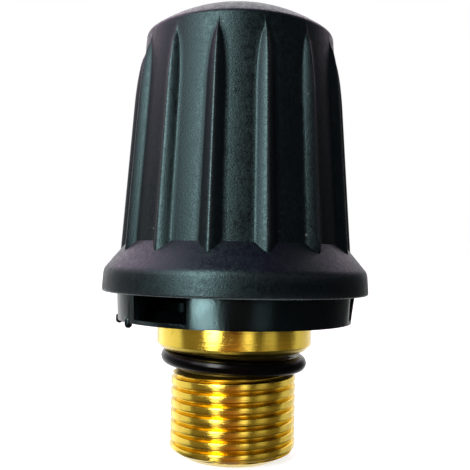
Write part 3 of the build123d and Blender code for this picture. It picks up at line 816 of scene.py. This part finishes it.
def limit_radius(height):
    """The largest radius that the spigot has at a height: end chamfer, thread, neck taper."""
    chamfer = THREAD_RADIUS - THREAD_END_DEPTH
    above_end = height - THREAD_BOTTOM
    below_neck = NECK_BOTTOM - height
    by_end = chamfer + above_end * THREAD_END_DEPTH / THREAD_END_RISE
    by_neck = NECK_RADIUS + below_neck * (THREAD_RADIUS - NECK_RADIUS) / THREAD_DEPTH
    return min(THREAD_RADIUS, by_end, by_neck)


def thread_mesh():
    """The helical surface of the thread, trimmed to the spigot's two ends."""
    mesh = bmesh.new()
    turns = math.ceil((NECK_BOTTOM - THREAD_START) / THREAD_PITCH) + 1
    outline = [(radius, THREAD_START + height) for radius, height in thread_outline()]
    sweep(mesh, add_section(mesh, outline), turns, ROUND_STEPS * turns,
          THREAD_PITCH / ROUND_STEPS)
    weld(mesh, 0.001)
    for point in mesh.verts:
        height = min(max(point.co.z, THREAD_BOTTOM), NECK_BOTTOM)
        radius = math.hypot(point.co.x, point.co.y)
        scale = min(radius, limit_radius(height)) / radius
        point.co = (point.co.x * scale, point.co.y * scale, height)
    weld(mesh, 0.002)
    bmesh.ops.dissolve_degenerate(mesh, dist=0.002, edges=mesh.edges)
    return mesh


def plug_outline():
    """Half section of the plug without its thread, from the neck up, over and down the bore."""
    neck_top = (NECK_RADIUS, 0)
    chamfer_in = (COLLAR_RADIUS - COLLAR_CHAMFER, 0)
    chamfer_out = (COLLAR_RADIUS, COLLAR_CHAMFER)
    collar_top = (COLLAR_RADIUS, COLLAR_HEIGHT)
    hub_foot = (HUB_RADIUS, COLLAR_HEIGHT)
    hub_top = (HUB_RADIUS, HUB_TOP)
    guide_top = (GUIDE_RADIUS, HUB_TOP)
    return [
        (NECK_RADIUS, NECK_BOTTOM),
        neck_top,
        *rounded(neck_top, chamfer_in, chamfer_out, NECK_FILLET, 3),
        *rounded(chamfer_in, chamfer_out, collar_top, COLLAR_EDGE, 3),
        *rounded(chamfer_out, collar_top, hub_foot, COLLAR_EDGE, 3),
        hub_foot,
        *rounded(hub_foot, hub_top, guide_top, HUB_EDGE, 3),
        guide_top,
        (GUIDE_RADIUS, GUIDE_FLOOR),
        (BORE_RADIUS, GUIDE_FLOOR),
        (BORE_RADIUS, BORE_FLOOR),
        (INLET_RADIUS, BORE_FLOOR),
        (INLET_RADIUS, THREAD_BOTTOM + INLET_CHAMFER),
        (INLET_RADIUS + INLET_CHAMFER, THREAD_BOTTOM),
        (THREAD_RADIUS - THREAD_END_DEPTH, THREAD_BOTTOM),
    ]


def make_plug():
    mesh = turned_mesh(plug_outline(), ROUND_STEPS)
    absorb(mesh, thread_mesh())
    weld(mesh, 0.01)
    return finish_piece(mesh, "plug", "plug", "yellow_brass", ["plug_body"], sharp=30)


# Sealing ring

def make_o_ring():
    """A ring of round section with a faint mould line inside and outside."""
    low, high = node_box("main_o_ring")
    mesh = bmesh.new()
    outline = []
    for index in range(RING_POINTS):
        angle = math.tau * index / RING_POINTS
        flash = RING_FLASH if index in (0, RING_POINTS // 2) else 0.0
        radius = RING_RADIUS - RING_FLASH + flash
        outline.append((RING_MIDDLE + radius * math.cos(angle), radius * math.sin(angle)))
    sweep(mesh, add_section(mesh, outline, closed=True), 1, RING_STEPS, closed=True)
    bmesh.ops.rotate(mesh, verts=mesh.verts, cent=(0, 0, 0),
                     matrix=Matrix.Rotation(math.radians(RING_TILT), 3, "Y"))
    bmesh.ops.translate(mesh, verts=mesh.verts, vec=(0, 0, (low.z + high.z) / 2))
    return finish_piece(mesh, "sealing_ring", "plug", "black_rubber", ["main_o_ring"], sharp=60)


# Springs

def make_spring(node, joint):
    """A round-wire spring with closed ends, in the box of its solid."""
    name, body, wire, turns = SPRINGS[node]
    low, high = node_box(node)
    mesh = bmesh.new()
    ring = bmesh.ops.create_circle(mesh, cap_ends=False, segments=WIRE_POINTS,
                                   radius=wire / 2)["verts"]
    bmesh.ops.rotate(mesh, verts=ring, cent=(0, 0, 0),
                     matrix=Matrix.Rotation(math.pi / 2, 3, "X"))
    bmesh.ops.translate(mesh, verts=ring, vec=(high.x - wire / 2, 0, low.z + wire / 2))
    end_rise = wire / 2
    middle_rise = high.z - low.z - wire - 2 * end_rise
    section = mesh.verts[:] + mesh.edges[:]
    closed_end = (CLOSED_TURNS, end_rise)
    for count, rise in (closed_end, (turns - 2 * CLOSED_TURNS, middle_rise), closed_end):
        steps = round(TURN_STEPS * count)
        section = sweep(mesh, section, count, steps, rise / steps)
    ends = [edge for edge in mesh.edges if edge.is_boundary]
    bmesh.ops.holes_fill(mesh, edges=ends, sides=0)
    piece = finish_piece(mesh, name, body, "spring_steel", [node], sharp=50)
    travel = joint["range_m"][1] / MM
    1 - travel / (high.z - low.z)
    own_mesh(piece)


# Skirt

def make_skirt():
    """The skirt's own solid, with its sharp edges rounded."""
    mesh = bmesh.new()
    mesh.from_mesh(frame["nodes"]["skirt_cup"].data)
    bmesh.ops.transform(mesh, matrix=Matrix.Scale(1 / MM, 4), verts=mesh.verts)
    weld(mesh, 0.004)
    bmesh.ops.dissolve_limit(mesh, angle_limit=SKIRT_FLAT, use_dissolve_boundaries=False,
                             verts=mesh.verts, edges=mesh.edges, delimit=set())
    edges = [edge for edge in mesh.edges
             if len(edge.link_faces) == 2 and edge.calc_face_angle(0.0) > SKIRT_SHARP]
    bmesh.ops.bevel(mesh, geom=edges, offset=SKIRT_EDGE, offset_type="OFFSET", segments=2,
                    profile=0.5, affect="EDGES", clamp_overlap=True, material=-1)
    weld(mesh, 0.001)
    return finish_piece(mesh, "skirt", "plug", "skirt_plastic", ["skirt_cup"], sharp=40)


def make_nubs():
    """Two rounded studs that stick out below the skirt."""
    mesh = bmesh.new()
    tip = arc((0, NUB_BOTTOM + NUB_RADIUS), NUB_RADIUS, -90, 0, NUB_ROWS)
    for azimuth in NUB_AZIMUTHS:
        stud = turned_mesh(tip + [(NUB_RADIUS, NUB_TOP), (0, NUB_TOP)], NUB_STEPS)
        turn = math.radians(azimuth - 90)
        place = (NUB_CIRCLE * math.cos(turn), NUB_CIRCLE * math.sin(turn), 0)
        bmesh.ops.translate(stud, verts=stud.verts, vec=place)
        absorb(mesh, stud)
    return finish_piece(mesh, "nubs", "plug", "skirt_plastic", [])


# Stage

def studio_light(nodes):
    """Colour that the room sends to the object, by direction."""
    turned = nodes.node("ShaderNodeMapping", None,
                        {"Vector": nodes.place, "Rotation": (0, 0, math.pi / 2)})
    bearing = nodes.node("ShaderNodeTexGradient", {"gradient_type": "RADIAL"},
                         {"Vector": turned}, "Fac")
    height = nodes.height()

    def band(table):
        stops = []
        for azimuth, shade in table:
            red, green, blue = shade if isinstance(shade, tuple) else (shade,) * 3
            stops.append(((azimuth + 180) / 360, colour(red, green, blue)))
        return nodes.node("ShaderNodeValToRGB", {"stops": stops}, {"Fac": bearing})

    walls = nodes.mix(nodes.between(height, *LOW_TO_HIGH), band(LOW), band(HIGH))
    return nodes.mix(nodes.between(height, *HIGH_TO_ZENITH), walls, ZENITH)


def seen_directly(nodes):
    """1 for what the camera sees, 0 for light that reaches the object."""
    return nodes.node("ShaderNodeLightPath", None, None, "Is Camera Ray")


def make_world():
    world = bpy.data.worlds.new("studio")
    world.use_nodes = True
    bpy.context.scene.world = world
    nodes = Nodes(world.node_tree, "Generated")
    background = world.node_tree.nodes["Background"]
    shown = nodes.mix(seen_directly(nodes), studio_light(nodes), colour(1, 1, 1))
    feed(world.node_tree, background.inputs["Color"], shown)
    background.inputs["Strength"].default_value = 1.0


def make_floor():
    """A white floor that keeps a soft shadow; metal and plastic see the room instead of it."""
    mesh = bmesh.new()
    bmesh.ops.create_circle(mesh, cap_ends=True, segments=FLOOR_STEPS,
                            radius=FLOOR_RADIUS * MM)
    bmesh.ops.translate(mesh, verts=mesh.verts, vec=(0, 0, CAD_BOX[0][2] - FLOOR_GAP * MM))
    data = bpy.data.meshes.new("floor")
    mesh.to_mesh(data)
    mesh.free()
    floor = add_object("floor", data)
    floor.visible_glossy = False
    finish = Finish("pale_floor")
    plain = finish.wear(Base_Color=colour(0.8, 0.8, 0.8), Roughness=0.9)
    tree = finish.tree
    matt = Field(tree, finish.shader.outputs[0])
    glow = finish.node("ShaderNodeEmission", None,
                       {"Color": colour(1, 1, 1), "Strength": FLOOR_GLOW})
    lit = finish.node("ShaderNodeAddShader", None, {0: matt, 1: glow})
    mixed = finish.node("ShaderNodeMixShader", None, {0: seen_directly(finish), 1: matt, 2: lit})
    tree.links.new(mixed.socket, tree.nodes["Material Output"].inputs["Surface"])
    data.materials.append(plain)


make_camera()
for entry in frame["record"]["subparts"]:
    cad_object = frame["nodes"][entry["node"]]
    cad_object.data.materials.clear()
    cad_object.data.materials.append(MATERIALS[entry["material_slot"]])

knob_piece = make_knob()
plug_piece = make_plug()
make_o_ring()
skirt_piece = make_skirt()
make_nubs()
for joint in frame["record"]["behaviour"]["joints"]:
    for moved in joint.get("deforming_nodes", []):
        make_spring(moved["node"], joint)
make_floor()
make_world()
make_lamps({"shell": knob_piece, "cup": skirt_piece, "brass": plug_piece})

scene = bpy.context.scene
scene.view_settings.view_transform = "Standard"
